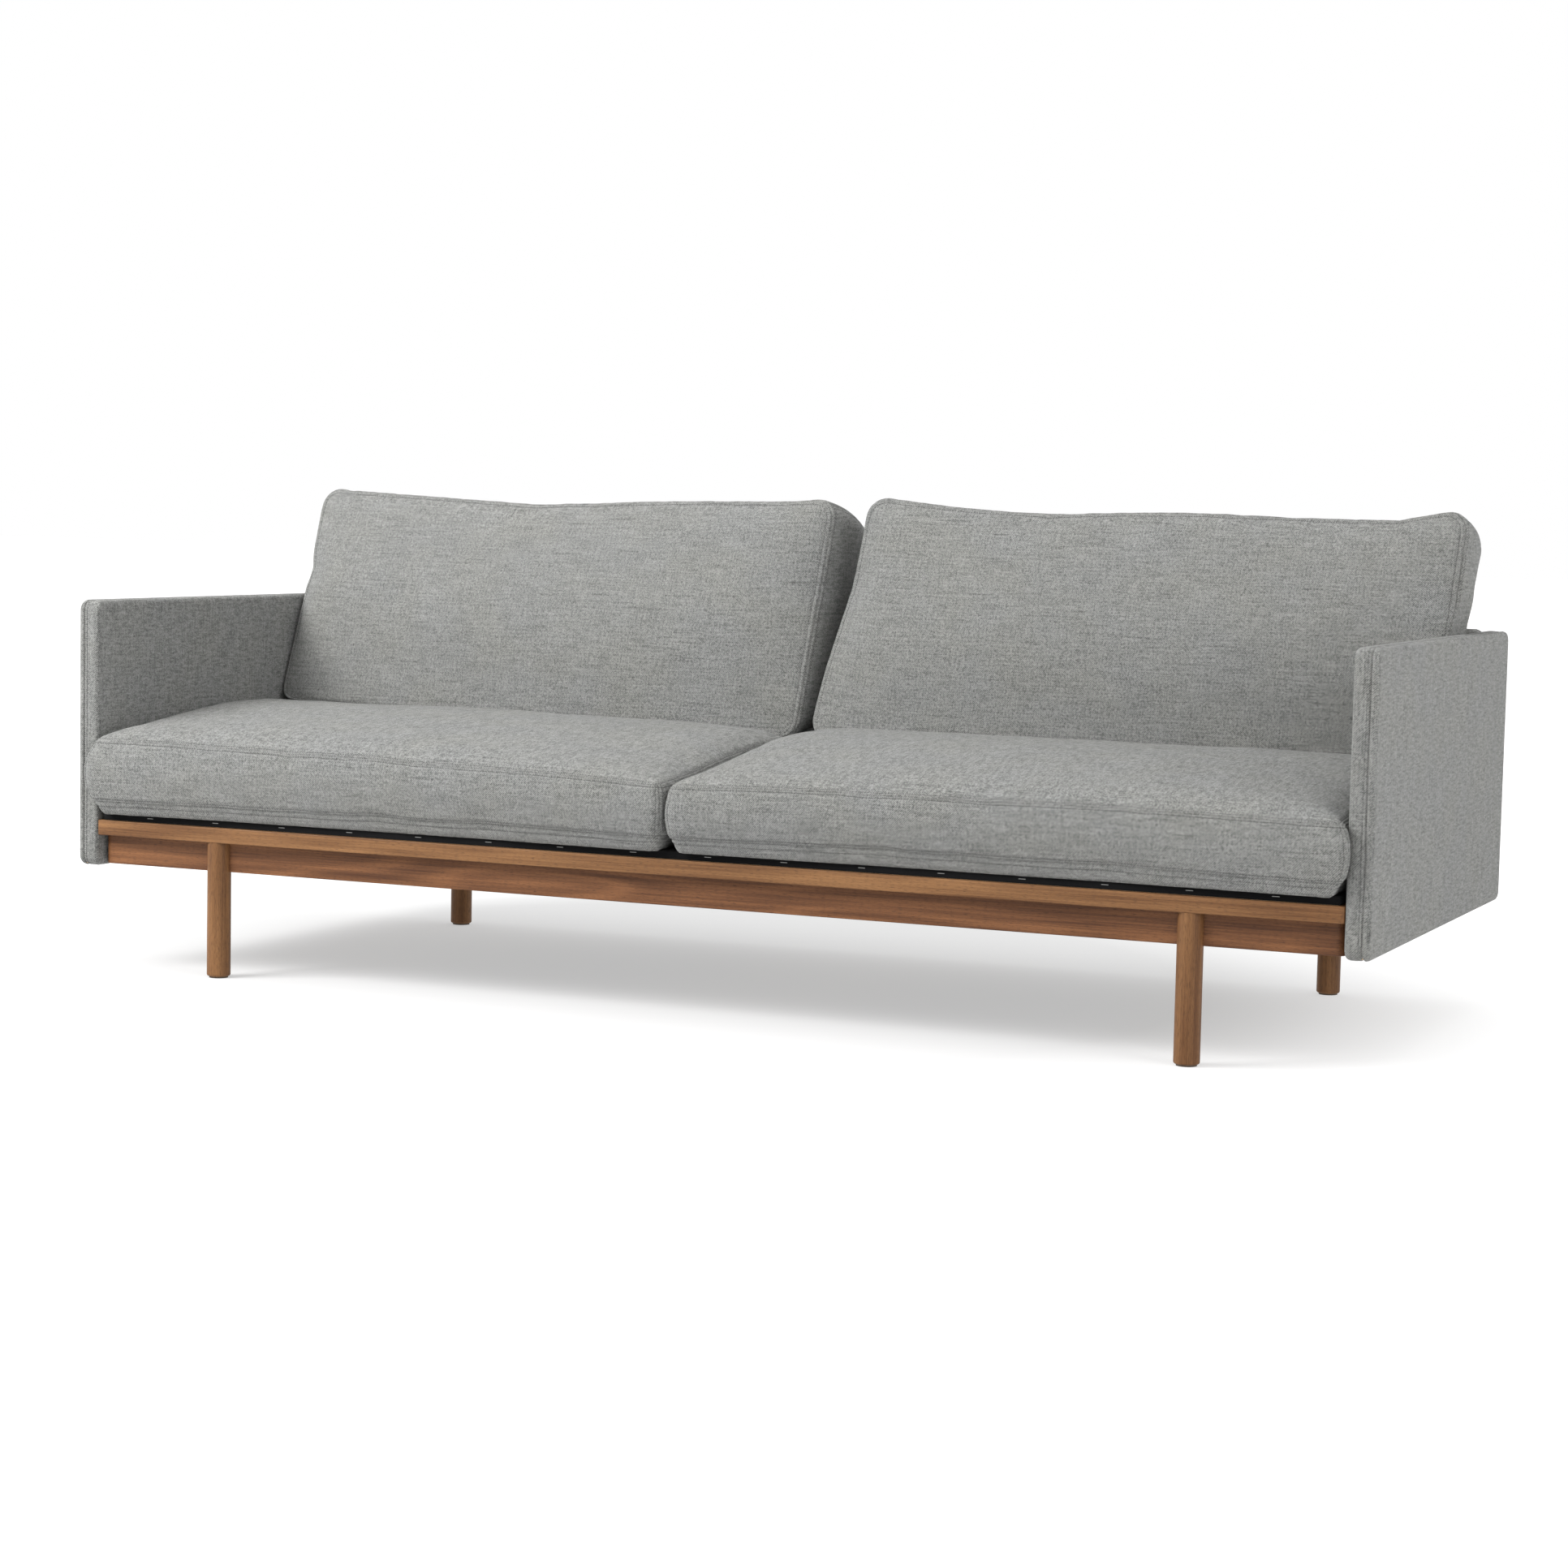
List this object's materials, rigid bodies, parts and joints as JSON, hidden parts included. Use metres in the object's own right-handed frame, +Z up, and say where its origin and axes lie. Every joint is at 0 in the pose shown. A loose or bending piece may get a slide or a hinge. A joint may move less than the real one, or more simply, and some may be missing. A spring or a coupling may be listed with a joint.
{
  "type": "sofa with wooden legs",
  "caption": "Low sofa with an oak rail frame on round legs, slim grey upholstered arms and back, and loose seat and back cushions.",
  "frame": {"origin": "centre of the bounding box in plan, on the floor", "axes": "+X to the right seen from the front (longest extent), +Y towards the back, +Z up"},
  "size_m": [2.2, 0.92, 0.802],
  "materials": {
    "oak": "oiled oak, fine straight grain",
    "oak_apron": "oiled oak, darker, open grain",
    "pine": "planed softwood",
    "plywood": "birch plywood",
    "webbing": "elastic webbing",
    "black_cloth": "thin black platform cloth",
    "steel": "zinc plated",
    "nylon": "moulded nylon",
    "felt": "pressed felt",
    "grey_twill": "melange grey twill weave",
    "foam": "cut polyurethane foam in wadding",
    "zip": "moulded coil",
    "slider": "painted die casting"
  },
  "bodies": {
    "sofa_frame": {"apron_front": "oak_apron", "apron_left": "oak_apron", "apron_rear": "oak_apron", "apron_right": "oak_apron", "arm_board_left": "plywood", "arm_board_right": "plywood", "arm_cover_left": "grey_twill", "arm_cover_right": "grey_twill", "arm_spacers": "nylon", "back_mount_blocks": "pine", "back_panel_board": "plywood", "back_panel_cover": "grey_twill", "bracket_screws": "steel", "cap_rail_front": "oak", "cap_rail_left": "oak", "cap_rail_rear": "oak", "cap_rail_right": "oak", "corner_blocks": "pine", "corner_bracket_left": "steel", "corner_bracket_right": "steel", "cross_rail_centre": "pine", "cross_rail_left": "pine", "cross_rail_right": "pine", "deck_board_front": "plywood", "deck_board_left": "plywood", "deck_board_rear": "plywood", "deck_board_right": "plywood", "deck_cloth": "black_cloth", "deck_staples": "steel", "foot_glide_front_left": "felt", "foot_glide_front_right": "felt", "foot_glide_rear_left": "felt", "foot_glide_rear_right": "felt", "frame_dowels": "pine", "leg_bolts": "steel", "leg_front_left": "oak_apron", "leg_front_right": "oak_apron", "leg_inserts": "steel", "leg_rear_left": "oak_apron", "leg_rear_right": "oak_apron", "panel_bolts": "steel", "panel_inserts": "steel", "webbing_front_to_back": "webbing", "webbing_lengthwise": "webbing"},
    "seat_cushion_left": {"seat_cushion_cover_left": "grey_twill", "seat_cushion_core_left": "foam", "seat_zip_chain_left": "zip"},
    "back_cushion_left": {"back_cushion_cover_left": "grey_twill", "back_cushion_core_left": "foam", "back_zip_chain_left": "zip"},
    "seat_zip_slider_left_body": {"seat_zip_slider_left": "slider"},
    "back_zip_slider_left_body": {"back_zip_slider_left": "slider"},
    "seat_cushion_right": {"seat_cushion_cover_right": "grey_twill", "seat_cushion_core_right": "foam", "seat_zip_chain_right": "zip"},
    "back_cushion_right": {"back_cushion_cover_right": "grey_twill", "back_cushion_core_right": "foam", "back_zip_chain_right": "zip"},
    "seat_zip_slider_right_body": {"seat_zip_slider_right": "slider"},
    "back_zip_slider_right_body": {"back_zip_slider_right": "slider"}
  },
  "joints": [
    {"name": "seat_cushion_left_pull", "type": "slide", "parent": "sofa_frame", "child": "seat_cushion_left", "axis": [0, -1, 0], "range_m": [0, 0.4]},
    {"name": "back_cushion_left_lift", "type": "slide", "parent": "sofa_frame", "child": "back_cushion_left", "axis": [0, 0, 1], "range_m": [0, 0.35]},
    {"name": "seat_zip_left_pull", "type": "slide", "parent": "seat_cushion_left", "child": "seat_zip_slider_left_body", "axis": [1, 0, 0], "range_m": [0, 0.8]},
    {"name": "back_zip_left_pull", "type": "slide", "parent": "back_cushion_left", "child": "back_zip_slider_left_body", "axis": [1, 0, 0], "range_m": [0, 0.8]},
    {"name": "seat_cushion_right_pull", "type": "slide", "parent": "sofa_frame", "child": "seat_cushion_right", "axis": [0, -1, 0], "range_m": [0, 0.4]},
    {"name": "back_cushion_right_lift", "type": "slide", "parent": "sofa_frame", "child": "back_cushion_right", "axis": [0, 0, 1], "range_m": [0, 0.35]},
    {"name": "seat_zip_right_pull", "type": "slide", "parent": "seat_cushion_right", "child": "seat_zip_slider_right_body", "axis": [1, 0, 0], "range_m": [0, 0.8]},
    {"name": "back_zip_right_pull", "type": "slide", "parent": "back_cushion_right", "child": "back_zip_slider_right_body", "axis": [1, 0, 0], "range_m": [0, 0.8]}
  ]
}
